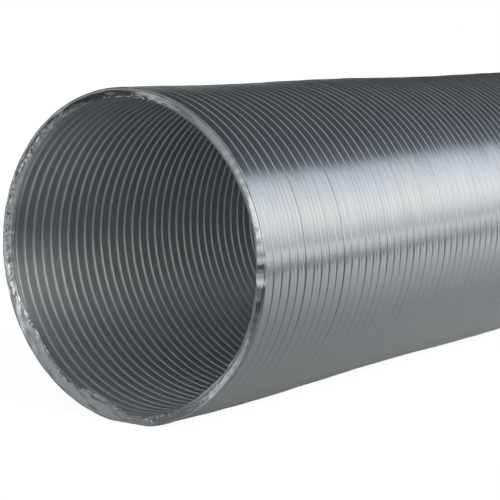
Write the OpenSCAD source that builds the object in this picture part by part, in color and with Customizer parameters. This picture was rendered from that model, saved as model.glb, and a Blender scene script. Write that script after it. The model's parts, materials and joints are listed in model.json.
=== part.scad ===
// Flexible air duct, wound from one narrow aluminium strip.
// Each turn of the strip is an S in section: an outer land with a hook turned
// in at its left edge, a flank, and an inner land with a hook turned out at its
// right edge. The inward hook of a turn stands in the channel of the turn
// before it, where it can slide and tilt, so the duct stretches and bends.
// The duct lies along X with its inlet mouth at x = 0, and +Z is up.

/* [Duct] */
// Clear bore, which goes over a ventilation spigot
bore_d = 125; // [80:1:315]
// Depth of the wound wall, from the bore to the outer lands
wall_depth = 4; // [3.2:0.1:8]
// Number of turns in this length of duct
turn_count = 60; // [12:1:60]

/* [Strip] */
// Thickness of the aluminium strip
strip_t = 0.2; // [0.1:0.05:0.35]
// Width of the outer land, and of the inner land
land_w = 3.8; // [3:0.1:6]
// Open groove between two lands, with the duct at its rest length
groove_w = 1.5; // [0.8:0.1:2]

/* [Clearances] */
// Depth of the flat that the duct rests on, below the round of its lands
rest_flat = 0.5; // [0.2:0.1:0.8]
// Radial room between a hook's tip and the land that it faces
hook_clear = 0.3; // [0.2:0.05:0.6]

/* [Hidden] */
$fn = 180;

bore_r = bore_d / 2;
outer_r = bore_r + wall_depth;
pitch = land_w + groove_w;

// The outward hook stays clear of the outer land where the rest flat presses it in
in_hook_r = bore_r + strip_t + hook_clear;
out_hook_r = outer_r - strip_t - rest_flat - hook_clear;

// Across one turn, from the left edge of its outer land
flank_x = land_w - strip_t;
out_hook_x = flank_x + land_w - strip_t;
turn_w = flank_x + land_w;

// The play that a lock has each way, printed for the joints' limits
close_play = groove_w;
open_play = out_hook_x - pitch - strip_t;
echo(pitch = pitch, close_play = close_play, open_play = open_play,
     first_lock_x = pitch + strip_t / 2,
     duct_length = (turn_count - 1) * pitch + turn_w);

function two_digits(i) = i < 10 ? str("0", i) : str(i);
function turn_name(i) =
    i == 1 ? "inlet_turn" : i == turn_count ? "outlet_turn" : str("turn_", two_digits(i));
function turn_x(i) = (i - 1) * pitch;

// Carries a flat shape to x and gives it a width along the duct
module along_duct(x, width)
    translate([x, 0, 0]) rotate([90, 0, 90]) linear_extrude(width) children();

// A disc with its bottom cut flat
module flat_disc(r, cut) {
    difference() {
        circle(r);
        translate([-r, -r - (r - cut)]) square([2 * r, r]);
    }
}

// The outer land, pressed flat along the line that the duct rests on
module outer_land(x, width) {
    along_duct(x, width) difference() {
        flat_disc(outer_r, rest_flat);
        flat_disc(outer_r - strip_t, rest_flat);
    }
}

// The inner land, whose bore stays round
module inner_land(x, width) {
    along_duct(x, width) difference() {
        circle(bore_r + strip_t);
        circle(bore_r);
    }
}

// A wall of strip that stands across the duct, from a radius out to the outer land
module cross_wall(x, from_r) {
    along_duct(x, strip_t) difference() {
        flat_disc(outer_r, rest_flat);
        circle(from_r);
    }
}

// The hook at the inner land's right edge, turned out
module out_hook(x) {
    along_duct(x, strip_t) difference() {
        circle(out_hook_r);
        circle(bore_r);
    }
}

// The first turn: the strip is dressed square across the mouth
module inlet_turn() {
    color("silver") {
        cross_wall(0, bore_r);
        outer_land(0, land_w);
        inner_land(0, turn_w);
        out_hook(out_hook_x);
    }
}

// One turn of the strip, hooked into the turn before it
module strip_turn(i) {
    color(i % 2 == 0 ? "gainsboro" : "silver") translate([turn_x(i), 0, 0]) {
        cross_wall(0, in_hook_r);
        outer_land(0, land_w);
        cross_wall(flank_x, bore_r);
        inner_land(flank_x, land_w);
        out_hook(out_hook_x);
    }
}

// The last turn: its hook holds the turn before, and its far edge is dressed square
module outlet_turn() {
    color("silver") translate([turn_x(turn_count), 0, 0]) {
        cross_wall(0, in_hook_r);
        outer_land(0, turn_w);
        inner_land(flank_x, land_w);
        cross_wall(out_hook_x, bore_r);
    }
}

inlet_turn();
for (i = [2:turn_count - 1])
    strip_turn(i);
outlet_turn();
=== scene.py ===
import json
import math

import bpy
import numpy as np
from mathutils import Matrix, Vector

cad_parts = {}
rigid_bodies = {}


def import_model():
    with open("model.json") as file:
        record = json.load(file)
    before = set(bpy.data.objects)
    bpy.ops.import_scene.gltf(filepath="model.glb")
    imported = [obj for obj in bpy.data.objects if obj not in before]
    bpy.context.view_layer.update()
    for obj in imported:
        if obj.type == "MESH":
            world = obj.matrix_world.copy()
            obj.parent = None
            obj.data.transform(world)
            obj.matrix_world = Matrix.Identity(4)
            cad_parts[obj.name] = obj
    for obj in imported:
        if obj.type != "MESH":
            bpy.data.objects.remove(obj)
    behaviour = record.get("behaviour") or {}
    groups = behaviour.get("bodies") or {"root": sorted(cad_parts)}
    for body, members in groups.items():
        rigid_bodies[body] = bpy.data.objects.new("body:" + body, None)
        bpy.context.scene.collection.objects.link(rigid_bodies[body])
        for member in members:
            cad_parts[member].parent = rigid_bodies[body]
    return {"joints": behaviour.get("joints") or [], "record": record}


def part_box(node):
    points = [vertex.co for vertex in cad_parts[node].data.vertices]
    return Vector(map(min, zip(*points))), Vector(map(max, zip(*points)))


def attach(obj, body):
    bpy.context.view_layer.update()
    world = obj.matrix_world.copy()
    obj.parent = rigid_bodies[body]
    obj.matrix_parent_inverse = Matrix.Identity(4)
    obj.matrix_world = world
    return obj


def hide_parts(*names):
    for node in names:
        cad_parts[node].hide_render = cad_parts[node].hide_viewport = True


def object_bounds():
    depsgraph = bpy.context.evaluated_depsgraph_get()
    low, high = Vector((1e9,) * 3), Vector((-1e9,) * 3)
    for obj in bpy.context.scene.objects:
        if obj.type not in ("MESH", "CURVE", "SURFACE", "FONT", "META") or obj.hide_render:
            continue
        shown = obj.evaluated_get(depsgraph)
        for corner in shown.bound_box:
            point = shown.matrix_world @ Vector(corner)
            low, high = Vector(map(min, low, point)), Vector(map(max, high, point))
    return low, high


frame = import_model()
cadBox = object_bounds()

mm = 0.001
tau = 2 * math.pi

# The duct's own measures come from the frame, in metres
mounts = {m["name"]: m for m in frame["record"]["mounts"]}
boreR = mounts["inlet_bore"]["dims"]["r_mm"] * mm
outerR = mounts["outer_clamp_seat"]["dims"]["r_mm"] * mm
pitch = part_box("turn_03")[0].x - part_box("turn_02")[0].x
ductEnd = cadBox[1].x
restZ = cadBox[0].z

# The bodies in order from the inlet, and the CAD node that each one carries
nextBody = {j["parent"]: j["child"] for j in frame["joints"]}
bodyChain = ["inlet_turn_body"]
while bodyChain[-1] in nextBody:
    bodyChain.append(nextBody[bodyChain[-1]])
nodeOf = {body: nodes[0] for body, nodes in frame["record"]["behaviour"]["bodies"].items()}


# An sRGB hex value as linear red, green, blue and alpha
def linearColor(hexColor):
    parts = [int(hexColor[i:i + 2], 16) / 255 for i in (1, 3, 5)]
    return [c / 12.92 if c <= 0.04045 else ((c + 0.055) / 1.055) ** 2.4 for c in parts] + [1.0]


# Adds one node: settings are its properties, and inputs go by name or number to a value or a link
def addNode(tree, kind, settings=None, inputs=None):
    node = tree.nodes.new(kind)
    for name, value in (settings or {}).items():
        setattr(node, name, value)
    for key, value in (inputs or {}).items():
        if isinstance(value, bpy.types.NodeSocket):
            tree.links.new(value, node.inputs[key])
        else:
            node.inputs[key].default_value = value
    return node


def newMaterial(name):
    material = bpy.data.materials.new(name)
    material.use_nodes = True
    material.node_tree.nodes.clear()
    return material, material.node_tree


rolledStrip = dict(
    color="#E8EAEC",        # bare aluminium
    roughness=0.17,         # mill finish off the rolls
    roughnessSpread=0.05,
    anisotropy=0.0,         # the outer face spreads light evenly
    mattRoughness=0.42,     # of the strip's inner face, which ran on the dull roll
    mattAnisotropy=0.85,    # light spreads across the rolling lines
    lineSpacing=0.45,       # mm between rolling lines; real ones are finer, and these are as fine as can show
    lineLength=60,          # mm, as is their height
    lineHeight=0.05,
    smudge=18,              # mm across a handling smudge
)


# Mill-finish rolled aluminium: a soft mirror, streaked along the strip by the rolls and dulled in patches
# by handling. The inner face is the matt one, whose rolling lines fan the light out along the duct.
# The strip's map is in centimetres, across the strip and along it.
def rolledAluminium(values, name, roughness, anisotropy):
    material, tree = newMaterial(name)
    strip = addNode(tree, "ShaderNodeUVMap", {"uv_map": "stripMap"})
    lineScale = (10 / values["lineSpacing"], 10 / values["lineLength"], 1)
    lineAt = addNode(tree, "ShaderNodeMapping", None, {"Vector": strip.outputs[0], "Scale": lineScale})
    lines = addNode(tree, "ShaderNodeTexNoise", None,
                    {"Vector": lineAt.outputs[0], "Scale": 1.0, "Detail": 3.0, "Roughness": 0.6})
    place = addNode(tree, "ShaderNodeTexCoord")
    smudges = addNode(tree, "ShaderNodeTexNoise", None,
                      {"Vector": place.outputs["Object"], "Scale": 1000 / values["smudge"],
                       "Detail": 4.0, "Roughness": 0.65})
    both = addNode(tree, "ShaderNodeMath", {"operation": "ADD"}, {0: lines.outputs[0], 1: smudges.outputs[0]})
    rough = addNode(tree, "ShaderNodeMapRange", None,
                    {"Value": both.outputs[0], "From Min": 0.6, "From Max": 1.4,
                     "To Min": roughness - values["roughnessSpread"],
                     "To Max": roughness + values["roughnessSpread"]})
    bump = addNode(tree, "ShaderNodeBump", None,
                   {"Strength": 1.0, "Distance": values["lineHeight"] * mm, "Height": lines.outputs[0]})
    acrossLines = addNode(tree, "ShaderNodeTangent", {"direction_type": "UV_MAP", "uv_map": "stripMap"})
    shader = addNode(tree, "ShaderNodeBsdfPrincipled", None,
                     {"Base Color": linearColor(values["color"]), "Metallic": 1.0, "Anisotropic": anisotropy,
                      "Roughness": rough.outputs[0], "Normal": bump.outputs[0],
                      "Tangent": acrossLines.outputs[0]})
    addNode(tree, "ShaderNodeOutputMaterial", None, {"Surface": shader.outputs[0]})
    return material


# A sum of cosine waves that closes round the duct: each has a whole number of waves round it, up to
# roundMost, and a slope along it, and the short waves weigh less. Its spread is about 1.
def waves(rng, angle, x, count, roundMost, shortest):
    total = np.zeros(np.broadcast(angle, x).shape)
    power = 0
    for _ in range(count):
        around = rng.integers(0, roundMost + 1)
        along = rng.uniform(-1, 1) * tau / shortest
        weight = 1 / (1 + (around / roundMost) ** 2 + (along * shortest / tau) ** 2)
        total += weight * np.cos(around * angle + along * x + rng.uniform(0, tau))
        power += weight ** 2 / 2
    return total / math.sqrt(power)


# A path through corners, each rounded by an arc that leaves its legs at radius * tan(turn / 2) from the
# corner. Legs that go further across than longest get points between.
def roundedPath(corners, radii, arcSteps, longest):
    corners = [np.array(c, float) for c in corners]
    path = [corners[0]]
    for before, corner, after, radius in zip(corners, corners[1:], corners[2:], radii):
        legIn = (corner - before) / np.linalg.norm(corner - before)
        legOut = (after - corner) / np.linalg.norm(after - corner)
        turn = math.atan2(legIn[0] * legOut[1] - legIn[1] * legOut[0], legIn @ legOut)
        start = corner - legIn * radius * math.tan(abs(turn) / 2)
        spoke = radius * math.copysign(1, turn) * np.array([legIn[1], -legIn[0]])
        for a in np.linspace(0, turn, arcSteps + 1):
            c, s = math.cos(a), math.sin(a)
            path.append(start - spoke + np.array([c * spoke[0] - s * spoke[1], s * spoke[0] + c * spoke[1]]))
    path.append(corners[-1])
    fine = [path[0]]
    for a, b in zip(path, path[1:]):
        parts = max(1, math.ceil(abs(b[0] - a[0]) / longest))
        fine.extend(a + (b - a) * s for s in np.linspace(0, 1, parts + 1)[1:])
    return np.array(fine)


# A grid of points given a thickness, or a stack of such grids: each point goes half of it to either side
# along the normal, which is the cross product of the grid's two directions, and quads along every open
# border close the sheet. keep says which quads exist, and cut moves the finished points.
def thickSheet(points, thickness, keep=None, closed=False, cut=None):
    if closed:
        down = np.roll(points, -1, -3) - np.roll(points, 1, -3)
    else:
        down = np.gradient(points, axis=-3)
    normals = np.cross(down, np.gradient(points, axis=-2)).reshape(-1, 3)
    normals /= np.linalg.norm(normals, axis=1, keepdims=True)
    back = len(normals)
    ids = np.arange(back).reshape(points.shape[:-1])
    here, following = (ids, np.roll(ids, -1, -2)) if closed else (ids[..., :-1, :], ids[..., 1:, :])
    quads = np.stack([here[..., :-1], following[..., :-1], following[..., 1:], here[..., 1:]], -1)
    quads = quads.reshape(-1, 4) if keep is None else quads[keep]
    edges = quads[:, [0, 1, 1, 2, 2, 3, 3, 0]].reshape(-1, 2)
    _, first, count = np.unique(edges.min(1) * back + edges.max(1), return_index=True, return_counts=True)
    border = edges[first[count == 1]]
    rim = np.stack([border[:, 1], border[:, 0], border[:, 0] + back, border[:, 1] + back], -1)
    flat = points.reshape(-1, 3)
    sides = np.concatenate([flat + normals * thickness / 2, flat - normals * thickness / 2])
    return dict(
        points=sides if cut is None else cut(sides),
        quads=np.concatenate([quads, quads[:, ::-1] + back, rim]),
        normals=np.concatenate([normals, -normals]),
        smooth=np.arange(2 * len(quads) + len(rim)) < 2 * len(quads),
        inner=np.arange(2 * len(quads) + len(rim)) // len(quads) == 1,
    )


# Puts the chosen quads of a sheet into a new mesh object. Smooth quads keep the whole sheet's normals,
# so a seam between two pieces doesn't show, and quads on a border stay flat.
def sheetPiece(name, sheet, chosen, uv, outside, inside):
    quads, smooth = sheet["quads"][chosen], sheet["smooth"][chosen]
    used, local = np.unique(quads, return_inverse=True)
    local = local.reshape(-1)
    mesh = bpy.data.meshes.new(name)
    mesh.vertices.add(len(used))
    mesh.vertices.foreach_set("co", sheet["points"][used].astype(np.float32).ravel())
    mesh.loops.add(len(local))
    mesh.loops.foreach_set("vertex_index", local.astype(np.int32))
    mesh.polygons.add(len(quads))
    mesh.polygons.foreach_set("loop_start", np.arange(0, len(local), 4, dtype=np.int32))
    mesh.polygons.foreach_set("use_smooth", smooth)
    layer = mesh.uv_layers.new(name="stripMap")
    layer.data.foreach_set("uv", uv[quads.ravel()].astype(np.float32).ravel())
    mesh.update(calc_edges=True)
    corners = sheet["normals"][quads.ravel()] * np.repeat(smooth, 4)[:, None]
    mesh.normals_split_custom_set(corners.tolist())
    mesh.materials.append(outside)
    mesh.materials.append(inside)
    mesh.polygons.foreach_set("material_index", sheet["inner"][chosen].astype(np.int32))
    piece = bpy.data.objects.new(name, mesh)
    bpy.context.scene.collection.objects.link(piece)
    return piece


# Points of the duct from its angle, x and radius. The angle is 0 at the top and grows towards -Y.
def roundDuct(angle, x, r):
    angle, x, r = np.broadcast_arrays(angle, x, r)
    return np.stack([x, -r * np.sin(angle), r * np.cos(angle)], -1)


# Keeps heights above a floor with a soft knee: the larger of the two, plus a hump where they meet
def softFloor(z, floor, knee):
    gap = z - floor
    return floor + (gap + np.sqrt(gap ** 2 + knee ** 2)) / 2


cutEdge = dict(
    thickness=0.2,      # mm, as are the rest
    outer=66.35,        # radius of the band's outer edge
    columns=1050,       # of the band's grid round the mouth, and its rows inward
    rows=27,
    front=0.15,         # of the band behind the mouth's plane
    bellDepth=1.7,      # behind the torn lip
    bellReach=3.4,      # how far in the bell starts at most
    bellWave=0.12,
    bellWaves=(30, 40, 5),
    roll=0.3,           # depth of the outer lip's roll
    rollWidth=0.7,
    jag=0.12,           # of the torn lip's outline
    jagWaves=(60, 110, 1),      # each waves entry: how many, the most round the mouth, the shortest inward
    tornWidth=0.9,      # of the strip along the torn lip where the creases are sharp
    softWaves=(40, 50, 2.5),
    sharpWaves=(40, 100, 1.1),
    slitAt=0.3,         # of the slit in the near side's lip, from the outer edge
    slitWidth=0.12,
    slitDepth=0.6,
    slitSpan=(52, 45, 8),   # degrees: its middle, half its length and its fading ends
    slope=0.5,          # of the band into the duct
    gap=0.35,           # between the band and the strip behind it
    # by degrees round the mouth, from the top towards the near side: how far in the band reaches,
    reach=[(0, 3.6), (20, 2.9), (42, 2.3), (64, 1.5), (78, 1.9), (91, 2.9), (103, 1.8), (122, 2.4),
           (145, 2.7), (160, 3.8), (181, 3.4), (188, 5.5), (197, 6.4), (204, 5.6), (207, 3.9),
           (216, 3.8), (228, 5.1), (240, 4.6), (252, 3.0), (262, 2.0), (276, 1.6), (300, 2.1),
           (330, 2.3), (345, 3.4)],
    # whether it slopes inwards, 1, or outwards, -1,
    leans=[(0, 0.6), (30, -0.4), (45, -1.4), (110, -1.4), (130, -0.6), (150, 0.4), (170, 1), (300, 1),
           (340, 0.8)],
    # and how deep its creases are
    creaseDepth=[(0, 0.1), (35, 0.04), (120, 0.03), (165, 0.2), (200, 0.35), (240, 0.3), (270, 0.16),
                 (330, 0.2), (345, 0.12)],
    burrs=130,
    burrLength=1.5,
    burrWidth=0.6,
    burrThickness=0.06,
    burrBand=0.5,       # how far burrs lie from the torn lip
)


# How far behind the mouth's plane the strip is trimmed back to clear the band, in mm, at a depth inward
# from the band's outer edge: the band's slope there, plus the gap, plus its creases
def lipSetBack(e, degrees, inward):
    lean = np.interp(degrees, *zip(*e["leans"]), period=360)
    reach = np.interp(degrees, *zip(*e["reach"]), period=360)
    crease = np.interp(degrees, *zip(*e["creaseDepth"]), period=360)
    inward = np.clip(inward, 0, reach)
    return e["slope"] * (np.maximum(-lean, 0) * reach + np.maximum(lean, 0) * inward) + e["gap"] + crease


strip = dict(
    seed=4021,
    thickness=0.2,      # mm, as are the rest
    hookTip=0.6,        # of the hooks, from the land that each faces
    shoulder=0.3,       # bend radius where an outer land starts
    bend=0.3,           # bend radius where an inner land starts
    slopeDepth=1.5,     # of the slope that leads down to the inner land
    slopeRun=0.65,
    landEnd=4.6,        # where the outer land starts to fall
    ledgeStart=4.8,
    ledgeDrop=0.18,     # of the ledge that the next turn's land laps over
    flank=5.1,          # where the strip goes down to the inner land
    innerWidth=3.8,     # of the inner land
    outHook=1.1,        # the out-hook's tip, below the outer land
    crown=0.03,         # of a land's middle above its edges
    landTilt=0.015,     # of a land's edges, to and fro along the strip,
    tiltWaves=(0.37, 0.62, 1.13, 2.3, 4.7),     # in this many waves a turn
    bead=0.034,         # of the two low beads that the rolls leave on a land
    firstGroove=2.0,    # from the mouth to the first groove, on the near side
    stepsPerTurn=132,
    wander=0.14,        # of a groove off the true helix,
    wanderTurns=(1.0, 1.7, 2.9, 5.3),   # in waves this many turns long
    grooveSwing=0.25,   # share by which every fifth turn's groove is deeper or shallower
    dent=0.05,          # of the wall, from round
    dentWaves=(40, 9, 14),  # how many, the most round the duct, and the shortest along it
    sway=0.3,           # of the duct's middle line, to the side and up,
    swayLengths=(210, 160),
    ragged=0.12,        # of the cut at both mouths
    foot=0.9,           # of the bulge where the duct bears on the floor near its inlet
    footAt=(167, 35),   # degrees from the top, and mm along the duct
    footSpread=(17, 45),
    floorKnee=0.1,      # where the duct's underside flattens on the floor
)


# The foot's bulge in mm: a bell curve round the duct and along it
def footBulge(s, angle, x):
    around = (np.mod(np.degrees(angle), 360) - s["footAt"][0]) / s["footSpread"][0]
    along = (x / mm - s["footAt"][1]) / s["footSpread"][1]
    return s["foot"] * np.exp(-around ** 2 - along ** 2)


# The strip's middle line across its width: a hook turned in, the outer land, a ledge that the next turn
# laps over, the flank, a slope, the inner land, and a hook turned out. Across in mm, and radius in mm.
def stripProfile(s):
    half = s["thickness"] / 2
    top, bottom = outerR / mm - half, boreR / mm + half
    ledge = top - s["ledgeDrop"]
    innerEnd = s["flank"] + s["innerWidth"]
    corners = [(half, bottom + s["hookTip"]), (half, top), (s["landEnd"], top), (s["ledgeStart"], ledge),
               (s["flank"], ledge), (s["flank"] - s["slopeRun"], bottom + s["slopeDepth"]),
               (s["flank"], bottom), (innerEnd, bottom), (innerEnd, top - s["outHook"])]
    radii = [s["shoulder"], 0.3, 0.2, 0.12, 0.4, s["bend"], 0.5]
    return roundedPath(corners, radii, 3, 0.55)


# The whole duct: the profile carried along a right-handed helix. x is pitch times the turns made, plus
# the place across the strip, and the radius is the profile's, with dents, a sway and the flat under it.
def windStrip(s, outside, inside):
    rng = np.random.default_rng(s["seed"])
    profile = stripProfile(s)
    across, radius = profile[:, 0], profile[:, 1]
    grooveAt = (s["landEnd"] + pitch / mm + s["shoulder"]) / 2
    before = math.ceil(across.max() * mm / pitch) * tau
    turns = ductEnd / pitch
    angle = np.arange(-before, (turns + 1.5) * tau, tau / s["stepsPerTurn"])[:, None]
    start = s["firstGroove"] - grooveAt - pitch / mm / 4
    slow = sum(np.cos(angle / k + rng.uniform(0, tau)) for k in s["wanderTurns"]) / 4
    x = pitch * angle / tau + (across[None, :] + start + s["wander"] * slow) * mm
    # Every five turns the rolls leave two shallow grooves among three deep ones
    depth = 1 + s["grooveSwing"] * np.cos(angle / 5 + 0.6)
    top, bottom = radius.max(), radius.min()
    low = np.clip((top - radius) / s["ledgeDrop"], 0, 1)
    isLedge = (across > s["landEnd"] - 1) & (across <= s["flank"]) & (radius > top - s["ledgeDrop"] - 0.01)
    r = radius[None, :] - low * isLedge * s["ledgeDrop"] * (depth - 1)
    middle = (across > 0.2) & (across < s["landEnd"]) & (radius > top - 0.02)
    rise = s["crown"] * (1 - ((across - s["landEnd"] / 2) / (s["landEnd"] / 2)) ** 2)
    tip = sum(np.cos(angle * k + rng.uniform(0, tau)) for k in s["tiltWaves"]) / 2
    tilt = s["landTilt"] * tip * (across / s["landEnd"] * 2 - 1)
    beadHeight = s["bead"] * (1 + 0.5 * np.cos(angle * 0.71) + 0.4 * np.cos(angle * 1.9 + 1))
    beads = beadHeight * np.cos(2 * tau * (across - 0.4) / s["landEnd"])
    r = r + np.where(middle, rise + tilt + beads, 0) - s["crown"]
    count, roundMost, shortest = s["dentWaves"]
    dents = s["dent"] * waves(rng, angle, x, count, roundMost, shortest * mm)
    r = (r + footBulge(s, angle, x)) * mm + dents * mm
    points = roundDuct(angle, x, r)
    sway = s["sway"] * mm
    aside, up = s["swayLengths"]
    points[..., 1] += sway * np.cos(tau * points[..., 0] / (aside * mm) + 0.5)
    points[..., 2] += sway * np.sin(tau * points[..., 0] / (up * mm) + 2.0)
    half = s["thickness"] * mm / 2
    points[..., 2] = softFloor(points[..., 2], restZ + half, s["floorKnee"] * mm)

    raggedIn = s["ragged"] * mm * np.abs(waves(rng, np.linspace(0, tau, 1441), 0, 60, 120, 1))
    raggedOut = s["ragged"] * mm * np.abs(waves(rng, np.linspace(0, tau, 1441), 0, 60, 120, 1))

    # Trims the strip to the ragged cut at either mouth
    def cutSquare(p):
        quarterDegrees = np.mod(np.arctan2(-p[:, 1], p[:, 2]), tau) / tau * 1440
        inward = cutEdge["outer"] - np.hypot(p[:, 1], p[:, 2]) / mm
        setBack = lipSetBack(cutEdge, quarterDegrees / 4, inward) * mm
        low = np.interp(quarterDegrees, np.arange(1441), raggedIn) + setBack
        high = np.interp(quarterDegrees, np.arange(1441), raggedOut) + setBack
        p[:, 0] = np.clip(p[:, 0], low, ductEnd - high)
        return p

    corners = np.stack([x[:-1, :-1], x[1:, :-1], x[1:, 1:], x[:-1, 1:]])
    keep = (corners.max(0) > s["ragged"] * mm) & (corners.min(0) < ductEnd - s["ragged"] * mm)
    sheet = thickSheet(points, s["thickness"] * mm, keep, cut=cutSquare)
    run = np.concatenate([[0], np.cumsum(np.linalg.norm(np.diff(profile, axis=0), axis=1))]) / 10
    uv = np.stack(np.broadcast_arrays(run[None, :], angle * outerR / mm / 10), -1).reshape(-1, 2)
    uv = np.concatenate([uv, uv])

    # One piece for each turn of the strip, from the bottom round to the bottom, which rides on that turn's
    # body: the lock opens and closes along the groove, and the cut across the strip only slides
    columns = len(profile)
    quadRow = (sheet["quads"] % (len(angle) * columns)).min(1) // columns
    owner = np.clip(np.floor(angle[quadRow, 0] / tau - 0.5), 0, len(bodyChain) - 1)
    for k, body in enumerate(bodyChain):
        piece = sheetPiece(f"strip_{k + 1:02d}", sheet, owner == k, uv, outside, inside)
        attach(piece, body)
        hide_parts(nodeOf[body])
    return len(sheet["quads"])


brightFace = rolledAluminium(rolledStrip, "rolledAluminium", rolledStrip["roughness"],
                             rolledStrip["anisotropy"])
mattFace = rolledAluminium(rolledStrip, "rolledAluminiumMatt", rolledStrip["mattRoughness"],
                           rolledStrip["mattAnisotropy"])
quadCount = windStrip(strip, brightFace, mattFace)
print("strip wound:", quadCount, "quads")


# The cut edge of a mouth, crushed by the saw: a band across the wall from a rolled outer lip to the torn
# lip. Its depth is its slope, plus the roll, plus soft waves, sharper near the torn lip, plus a slit.
# Behind it the inner skin sweeps back to the bore like a bell.
def crushedEdge(e, side, seed, body, outside, inside):
    rng = np.random.default_rng(seed)
    around = np.linspace(0, tau, e["columns"], endpoint=False)[:, None]
    degrees = np.degrees(around)
    v = np.linspace(0, 1, e["rows"])[None, :]
    reach = np.interp(degrees, *zip(*e["reach"]), period=360)
    reach = reach + e["jag"] * waves(rng, around, 0, *e["jagWaves"]) * (0.4 + reach / 5)
    depth = np.interp(degrees, *zip(*e["creaseDepth"]), period=360)
    lean = np.interp(degrees, *zip(*e["leans"]), period=360)
    inward = reach * v
    torn = np.exp(-((reach - inward) / e["tornWidth"]) ** 2)
    soft = waves(rng, around, inward, *e["softWaves"])
    sharp = np.abs(waves(rng, around, inward, *e["sharpWaves"]))
    slitMiddle, slitHalf, slitFade = e["slitSpan"]
    onNearSide = np.clip((slitHalf - np.abs(degrees - slitMiddle)) / slitFade, 0, 1)
    slit = onNearSide * np.exp(-((inward - e["slitAt"]) / e["slitWidth"]) ** 2)
    slope = e["slope"] * (np.maximum(lean, 0) * inward - np.minimum(lean, 0) * (reach - inward))
    outerLip = e["roll"] * np.clip(1 - inward / e["rollWidth"], 0, 1) ** 2
    ends = np.clip(v * 8, 0, 1)
    bulge = footBulge(strip, around, 0) * (side == "inlet")
    creases = depth * (0.4 * (soft + 1.2) + torn * sharp) * ends
    x = e["front"] + slope + outerLip + creases + e["slitDepth"] * slit
    points = roundDuct(around, np.maximum(x, 0.1) * mm, (e["outer"] + bulge - inward) * mm)
    uv = np.stack(np.broadcast_arrays(inward / 10, around * outerR / mm / 10), -1)

    # The bell: from just behind the torn lip, out to the bore's radius, as a quarter of an ellipse
    w = np.linspace(0, 1, 9)[None, :]
    lip = np.minimum(reach, e["bellReach"]) - 0.1
    sweep = lip + (e["outer"] - boreR / mm - 0.1 - lip) * np.sin(w * tau / 4)
    bellX = x[:, -1:] + e["front"] + e["bellDepth"] * (1 - np.cos(w * tau / 4))
    bellX = bellX + e["bellWave"] * waves(rng, around, w * 3, *e["bellWaves"]) * w
    bell = roundDuct(around, bellX * mm, (e["outer"] + bulge - sweep) * mm)
    bellUv = np.stack(np.broadcast_arrays(sweep / 10, around * outerR / mm / 10), -1)

    # Burrs: slivers of metal that stand on the band and curl over, each an arc of a small circle
    where = rng.choice(len(around), e["burrs"], p=(depth / depth.sum())[:, 0])
    along = np.linspace(0, 1, 6)[None, :, None]
    across = np.linspace(-0.5, 0.5, 3)[None, None, :]
    length = e["burrLength"] * rng.uniform(0.4, 1.3, e["burrs"])[:, None, None]
    width = e["burrWidth"] * rng.uniform(0.5, 1.4, e["burrs"])[:, None, None]
    curl = rng.uniform(0.8, 2.4, e["burrs"])[:, None, None]
    heading = rng.uniform(0, tau, e["burrs"])[:, None, None]
    run = length * np.sin(curl * along) / curl
    lift = length * (1 - np.cos(curl * along)) / curl
    sideways = width * across * (1 - 0.7 * along)
    turned = run * np.cos(heading) - sideways * np.sin(heading)
    inwards = run * np.sin(heading) + sideways * np.cos(heading)
    fromLip = np.abs(rng.normal(0, e["burrBand"], e["burrs"]))
    a0 = around[where, 0][:, None, None]
    r0 = (e["outer"] + bulge[where, 0] - reach[where, 0] + fromLip)[:, None, None]
    burrX = (x[where, -1] - 0.3 - e["slope"] * fromLip * lean[where, 0])[:, None, None] - lift
    burrs = roundDuct(a0 + turned / r0, np.maximum(burrX, 0.03) * mm, (r0 - inwards) * mm)

    sheets = (("edge", points, e["thickness"], True, uv, outside),
              ("bell", bell, e["thickness"], True, bellUv, inside),
              ("burrs", burrs, e["burrThickness"], False, np.zeros(burrs.shape[:-1] + (2,)), outside))
    for name, grid, thickness, closed, gridUv, backFace in sheets:
        grid[..., 2] = np.maximum(grid[..., 2], restZ + 0.1 * mm)
        if side == "outlet":
            grid[..., 0] = ductEnd - grid[..., 0]
        sheet = thickSheet(grid, thickness * mm, closed=closed)
        chosen = np.ones(len(sheet["quads"]), bool)
        flatUv = gridUv.reshape(-1, 2)
        piece = sheetPiece(f"{name}_{side}", sheet, chosen, np.concatenate([flatUv, flatUv]),
                           outside, backFace)
        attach(piece, body)
        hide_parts(nodeOf[body])


crushedEdge(cutEdge, "inlet", 77, bodyChain[0], brightFace, mattFace)
crushedEdge(cutEdge, "outlet", 78, bodyChain[-1], brightFace, mattFace)
print("mouth edges crushed")

camera = dict(
    azimuth=-53.8,      # degrees, 0 looks along +Y
    elevation=7.1,
    place=(-0.5143, -0.4370, 0.0870),
    lens=124.8,         # mm, on a 36 mm sensor
)


def placeCamera(c):
    data = bpy.data.cameras.new("camera")
    data.lens = c["lens"]
    data.sensor_width = 36
    eye = bpy.data.objects.new("camera", data)
    a, e = math.radians(c["azimuth"]), math.radians(c["elevation"])
    back = Vector((math.sin(a) * math.cos(e), -math.cos(a) * math.cos(e), math.sin(e)))
    eye.matrix_world = Matrix.Translation(c["place"]) @ back.to_track_quat("Z", "Y").to_matrix().to_4x4()
    bpy.context.scene.collection.objects.link(eye)
    bpy.context.scene.camera = eye


placeCamera(camera)

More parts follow.
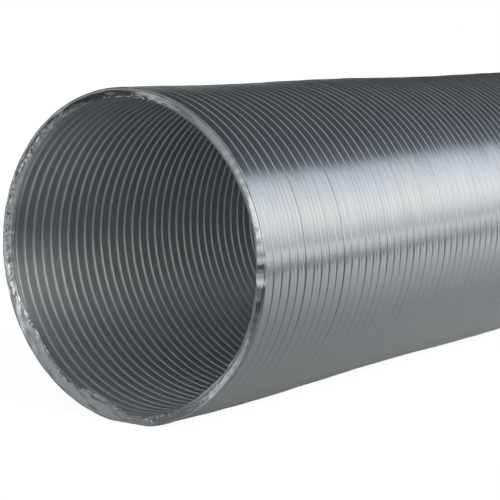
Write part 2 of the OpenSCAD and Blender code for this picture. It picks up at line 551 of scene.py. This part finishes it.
# The studio's light, as its colour by the angle round the duct, in degrees: 0 is level on the near side,
# and 90 is overhead. Ahead is where the duct points, rear is the viewer's side, and over is between.
studio = dict(
    rear=[(-180, "#616364"), (-20, "#9A9C9E"), (0, "#C3C6C8"), (14, "#F0F3EE"), (34, "#F0F3EE"),
          (48, "#B4B8BC"), (70, "#989DA1"), (92, "#909598"), (113, "#909496"), (136, "#8E9193"),
          (160, "#6C6E70"), (180, "#616364")],
    over=[(-180, "#5A5C5E"), (-20, "#B8BCBE"), (10, "#CDD2D5"), (40, "#BDC3C8"), (58, "#9DA4AA"),
          (75, "#90979E"), (98, "#80878D"), (110, "#6E747A"), (124, "#5C6166"), (150, "#56595D"),
          (180, "#5A5C5E")],
    ahead=[(-180, "#606262"), (-8, "#9CA2A6"), (0, "#A3A9AE"), (6, "#C4C9CD"), (14, "#E1E3E3"),
           (22, "#EDECE9"), (30, "#E1E5E9"), (38, "#D6DBE1"), (47, "#C8D0DA"), (53, "#B4BCC8"),
           (57, "#747D8A"), (60, "#585F69"), (68, "#51555C"), (80, "#494C52"), (100, "#45494E"),
           (140, "#434549"), (156, "#44484B"), (164, "#6E7173"), (172, "#848787"), (180, "#848787")],
    rearToOver=(-0.5, -0.2),    # by the direction's share along the duct
    overToAhead=(0.1, 0.4),
    alongLift=(0.4, 0.52, 1.0, 1.25),   # the light ahead grows along the duct: from, times, to, times
    slant=1.1,                  # and reaches higher there,
    slantFrom=0.82,             # from this share along the duct on
    keyAlong=(-0.42, -0.28, -0.1, -0.02),   # a soft box beside the viewer: where it fades in and out along
    keyHeight=(-14, 2, 28, 42),             # the duct, and by the angle
    keyColor="#F0F3EC",
    keyStrength=1.3,
)


# A light tent round the duct. The world's colour is a ramp over atan2(z, -y), and three such ramps are
# joined by the direction's x. The camera sees plain white.
def lightTent(v):
    world = bpy.data.worlds.new("lightTent")
    world.use_nodes = True
    tree = world.node_tree
    tree.nodes.clear()
    look = addNode(tree, "ShaderNodeTexCoord")
    axes = addNode(tree, "ShaderNodeSeparateXYZ", None, {0: look.outputs["Generated"]})
    near = addNode(tree, "ShaderNodeMath", {"operation": "MULTIPLY"}, {0: axes.outputs[1], 1: -1.0})
    turn = addNode(tree, "ShaderNodeMath", {"operation": "ARCTAN2"}, {0: axes.outputs[2], 1: near.outputs[0]})
    place = addNode(tree, "ShaderNodeMapRange", None,
                    {"Value": turn.outputs[0], "From Min": -math.pi, "From Max": math.pi})
    squeeze = addNode(tree, "ShaderNodeMapRange", {"clamp": False},
                      {"Value": axes.outputs[0], "From Min": v["slantFrom"], "From Max": 1.0,
                       "To Min": 1.0, "To Max": 1 - (1 - v["slantFrom"]) * v["slant"]})
    squeezed = addNode(tree, "ShaderNodeMath", {"operation": "MULTIPLY"},
                       {0: turn.outputs[0], 1: squeeze.outputs[0]})
    placeAhead = addNode(tree, "ShaderNodeMapRange", None,
                         {"Value": squeezed.outputs[0], "From Min": -math.pi, "From Max": math.pi})
    for zone, join in (("rear", None), ("over", "rearToOver"), ("ahead", "overToAhead")):
        at = placeAhead if zone == "ahead" else place
        ramp = addNode(tree, "ShaderNodeValToRGB", None, {"Fac": at.outputs[0]})
        for _ in v[zone][2:]:
            ramp.color_ramp.elements.new(0.5)
        for element, (angle, hexColor) in zip(ramp.color_ramp.elements, v[zone]):
            element.position = (angle + 180) / 360
            element.color = linearColor(hexColor)
        if join is None:
            tent = ramp.outputs[0]
            continue
        if zone == "ahead":
            start, low, end, high = v["alongLift"]
            grow = addNode(tree, "ShaderNodeMapRange", None,
                           {"Value": axes.outputs[0], "From Min": start, "From Max": end,
                            "To Min": low, "To Max": high})
            ramp = addNode(tree, "ShaderNodeVectorMath", {"operation": "SCALE"},
                           {0: ramp.outputs[0], "Scale": grow.outputs[0]})
        share = addNode(tree, "ShaderNodeMapRange", {"interpolation_type": "SMOOTHSTEP"},
                        {"Value": axes.outputs[0], "From Min": v[join][0], "From Max": v[join][1]})
        tent = addNode(tree, "ShaderNodeMix", {"data_type": "RGBA"},
                       {0: share.outputs[0], 6: tent, 7: ramp.outputs[0]}).outputs[2]
    key = v["keyStrength"]
    degrees = addNode(tree, "ShaderNodeMath", {"operation": "DEGREES"}, {0: turn.outputs[0]})
    for value, window in ((axes.outputs[0], v["keyAlong"]), (degrees.outputs[0], v["keyHeight"])):
        for start, end, low, high in ((*window[:2], 0.0, 1.0), (*window[2:], 1.0, 0.0)):
            edge = addNode(tree, "ShaderNodeMapRange", {"interpolation_type": "SMOOTHSTEP"},
                           {"Value": value, "From Min": start, "From Max": end,
                            "To Min": low, "To Max": high})
            key = addNode(tree, "ShaderNodeMath", {"operation": "MULTIPLY"},
                          {0: edge.outputs[0], 1: key}).outputs[0]
    keyLight = addNode(tree, "ShaderNodeVectorMath", {"operation": "SCALE"},
                       {0: linearColor(v["keyColor"])[:3], "Scale": key})
    sky = addNode(tree, "ShaderNodeVectorMath", {"operation": "ADD"}, {0: tent, 1: keyLight.outputs[0]})
    light = addNode(tree, "ShaderNodeBackground", None, {"Color": sky.outputs[0], "Strength": 1.0})
    white = addNode(tree, "ShaderNodeBackground", None, {"Color": (1, 1, 1, 1), "Strength": 1.0})
    path = addNode(tree, "ShaderNodeLightPath")
    plain = addNode(tree, "ShaderNodeMath", {"operation": "MAXIMUM"},
                    {0: path.outputs["Is Camera Ray"], 1: path.outputs["Is Transmission Ray"]})
    seen = addNode(tree, "ShaderNodeMixShader", None,
                   {0: plain.outputs[0], 1: light.outputs[0], 2: white.outputs[0]})
    addNode(tree, "ShaderNodeOutputWorld", None, {"Surface": seen.outputs[0]})
    bpy.context.scene.world = world


lightTent(studio)


def stagePlane(name, corners, material):
    mesh = bpy.data.meshes.new(name)
    mesh.from_pydata(corners, [], [(0, 1, 2, 3)])
    mesh.materials.append(material)
    plane = bpy.data.objects.new(name, mesh)
    bpy.context.scene.collection.objects.link(plane)


floor = dict(
    size=12,            # m
    paint="#CCCBC9",
    seenPaint="#8C8C8C",    # the camera sees this paint, lifted to white
    seenGlow=0.94,
    glowColor="#F0F4F6",
    # glow that the metal sees, by distance in mm from the duct's middle line towards the near side
    metalGlow=[(-2000, 0.0), (-60, 0.05), (0, 0.12), (40, 0.11), (75, 0.05), (89, 0.09), (113, 0.17),
               (153, 0.27), (247, 0.28), (330, 0.28), (400, 0.245), (550, 0.25), (1000, 0.32), (3000, 0.4)],
    growth=(0.0, 0.4, 0.65, 1.84),  # of that glow along the duct: from, times, to, times
    paintedLineAt=350,         # mm, of a painted dark line in the floor, which the metal reflects
    paintedLineWidth=100,
    paintedShade="#616161",        # painted shade: the darker paint that the metal sees in front of the mouth
    paintedShadeBefore=(-0.12, 0.03),   # m along the duct, where the one turns into the other
    frontGlow=0.5,              # further in front, where it is lit again
    frontFrom=(-0.4, -0.15),    # m along the duct
    patchAt=(-0.1, -0.015),     # of a small lit patch before the mouth, which lights the duct's inside
    patchSize=0.1,
    patchGlow=1.0,
)


# A pale matt floor. The camera sees it lifted to white, with the duct's shadow left on it. The metal sees
# it glow by a curve over the distance beside the duct, more along the duct, with a painted dark line. Before
# the mouth its paint is darker, painted shade, and it is dull but for the patch; it glows again further in
# front.
def paleFloor(f):
    material, tree = newMaterial("mattPaint")
    place = addNode(tree, "ShaderNodeTexCoord")
    axes = addNode(tree, "ShaderNodeSeparateXYZ", None, {0: place.outputs["Object"]})
    near = addNode(tree, "ShaderNodeMath", {"operation": "MULTIPLY"}, {0: axes.outputs[1], 1: -1.0})
    # Painted shade: the paint is darker in front of the mouth, and darker along the painted line, where the
    # metal sees it
    dull, pale = f["paintedShadeBefore"]
    ahead = addNode(tree, "ShaderNodeMapRange", {"interpolation_type": "SMOOTHSTEP"},
                    {"Value": axes.outputs[0], "From Min": dull, "From Max": pale})
    # Painted dark line: the paint and the metal's glow fall away along a line beside the duct, for the metal
    # to reflect
    fromPaintedLine = addNode(tree, "ShaderNodeMath", {"operation": "SUBTRACT"},
                       {0: near.outputs[0], 1: f["paintedLineAt"] * mm})
    fromPaintedLine = addNode(tree, "ShaderNodeMath", {"operation": "ABSOLUTE"}, {0: fromPaintedLine.outputs[0]})
    clear = addNode(tree, "ShaderNodeMapRange", {"interpolation_type": "SMOOTHSTEP"},
                    {"Value": fromPaintedLine.outputs[0], "From Min": 0.25 * f["paintedLineWidth"] * mm,
                     "From Max": 0.75 * f["paintedLineWidth"] * mm})
    litPart = addNode(tree, "ShaderNodeMath", {"operation": "MULTIPLY"},
                      {0: ahead.outputs[0], 1: clear.outputs[0]})
    shade = addNode(tree, "ShaderNodeMix", {"data_type": "RGBA"},
                    {0: litPart.outputs[0], 6: linearColor(f["paintedShade"]), 7: linearColor(f["paint"])})
    paint = addNode(tree, "ShaderNodeBsdfDiffuse", None, {"Color": shade.outputs[2]})

    curve = addNode(tree, "ShaderNodeFloatCurve", None, {"Value": near.outputs[0]})
    line = curve.mapping.curves[0]
    curve.mapping.clip_max_x, curve.mapping.clip_min_x = 4, -4
    curve.mapping.extend = "HORIZONTAL"
    for point, (distance, bright) in zip(line.points, (f["metalGlow"][0], f["metalGlow"][-1])):
        point.location = (distance * mm, bright)
    for distance, bright in f["metalGlow"][1:-1]:
        line.points.new(distance * mm, bright)
    for point in line.points:
        point.handle_type = "VECTOR"
    curve.mapping.update()
    growth = addNode(tree, "ShaderNodeMapRange", None,
                     {"Value": axes.outputs[0], "From Min": f["growth"][0], "To Min": f["growth"][1],
                      "From Max": f["growth"][2], "To Max": f["growth"][3]})
    aside = addNode(tree, "ShaderNodeMath", {"operation": "MULTIPLY"},
                    {0: curve.outputs[0], 1: growth.outputs[0]})
    aside = addNode(tree, "ShaderNodeMath", {"operation": "MULTIPLY"},
                    {0: aside.outputs[0], 1: litPart.outputs[0]})
    front = addNode(tree, "ShaderNodeMapRange", {"interpolation_type": "SMOOTHSTEP"},
                    {"Value": axes.outputs[0], "From Min": f["frontFrom"][0], "To Min": f["frontGlow"],
                     "From Max": f["frontFrom"][1], "To Max": 0.0})
    fromPatch = addNode(tree, "ShaderNodeVectorMath", {"operation": "DISTANCE"},
                        {0: place.outputs["Object"], 1: (*f["patchAt"], restZ)})
    patch = addNode(tree, "ShaderNodeMapRange", {"interpolation_type": "SMOOTHSTEP"},
                    {"Value": fromPatch.outputs["Value"], "From Min": f["patchSize"], "From Max": 0.0,
                     "To Min": 0.0, "To Max": f["patchGlow"]})
    front = addNode(tree, "ShaderNodeMath", {"operation": "ADD"}, {0: front.outputs[0], 1: patch.outputs[0]})
    glow = addNode(tree, "ShaderNodeMath", {"operation": "ADD"}, {0: aside.outputs[0], 1: front.outputs[0]})
    path = addNode(tree, "ShaderNodeLightPath")
    forMetal = addNode(tree, "ShaderNodeMath", {"operation": "MULTIPLY"},
                       {0: glow.outputs[0], 1: path.outputs["Is Glossy Ray"]})
    metalLift = addNode(tree, "ShaderNodeEmission", None,
                        {"Color": linearColor(f["glowColor"]), "Strength": forMetal.outputs[0]})
    lit = addNode(tree, "ShaderNodeAddShader", None, {0: paint.outputs[0], 1: metalLift.outputs[0]})

    seenPaint = addNode(tree, "ShaderNodeBsdfDiffuse", None, {"Color": linearColor(f["seenPaint"])})
    lift = addNode(tree, "ShaderNodeEmission", None, {"Color": (1, 1, 1, 1), "Strength": f["seenGlow"]})
    seen = addNode(tree, "ShaderNodeAddShader", None, {0: seenPaint.outputs[0], 1: lift.outputs[0]})
    plain = addNode(tree, "ShaderNodeMath", {"operation": "MAXIMUM"},
                    {0: path.outputs["Is Camera Ray"], 1: path.outputs["Is Transmission Ray"]})
    mix = addNode(tree, "ShaderNodeMixShader", None,
                  {0: plain.outputs[0], 1: lit.outputs[0], 2: seen.outputs[0]})
    addNode(tree, "ShaderNodeOutputMaterial", None, {"Surface": mix.outputs[0]})
    half = f["size"] / 2
    corners = [(-half, -half, restZ), (half, -half, restZ), (half, half, restZ), (-half, half, restZ)]
    stagePlane("floor", corners, material)


paleFloor(floor)

farCard = dict(
    before=1,           # mm inside the far mouth
    overlap=1,          # past the bore
    steps=48,           # round its edge
    color="#D2E0E8",
    glow=0.06,
    spotAt=(10, 45),    # mm to the far side and up
    spotSize=45,
    spotGlow=0.6,
)


# A dim card over the far mouth, which the metal sees and the camera doesn't. It stops the light that
# would come in there, as a longer run of duct would, and glows dimly in its place, brighter in a soft spot
# high up: painted light for the duct's inside.
def dimCard(c):
    material, tree = newMaterial("dimCard")
    place = addNode(tree, "ShaderNodeTexCoord")
    spotPlace = Vector((ductEnd - c["before"] * mm, c["spotAt"][0] * mm, c["spotAt"][1] * mm))
    away = addNode(tree, "ShaderNodeVectorMath", {"operation": "DISTANCE"},
                   {0: place.outputs["Object"], 1: spotPlace})
    glow = addNode(tree, "ShaderNodeMapRange", {"interpolation_type": "SMOOTHSTEP"},
                   {"Value": away.outputs["Value"], "From Min": c["spotSize"] * mm, "From Max": 0.0,
                    "To Min": c["glow"], "To Max": c["spotGlow"]})
    dim = addNode(tree, "ShaderNodeEmission", None,
                  {"Color": linearColor(c["color"]), "Strength": glow.outputs[0]})
    addNode(tree, "ShaderNodeOutputMaterial", None, {"Surface": dim.outputs[0]})
    around = np.linspace(0, tau, c["steps"], endpoint=False)
    ring = roundDuct(around, ductEnd - c["before"] * mm, boreR + c["overlap"] * mm)
    mesh = bpy.data.meshes.new("dimCard")
    mesh.from_pydata(ring.tolist(), [], [list(range(c["steps"]))])
    mesh.materials.append(material)
    card = bpy.data.objects.new("dimCard", mesh)
    bpy.context.scene.collection.objects.link(card)
    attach(card, bodyChain[-1])    # it stays in the mouth when the duct bends
    card.visible_camera = False


dimCard(farCard)

view = bpy.context.scene.view_settings
view.view_transform = "Standard"
print("studio set")
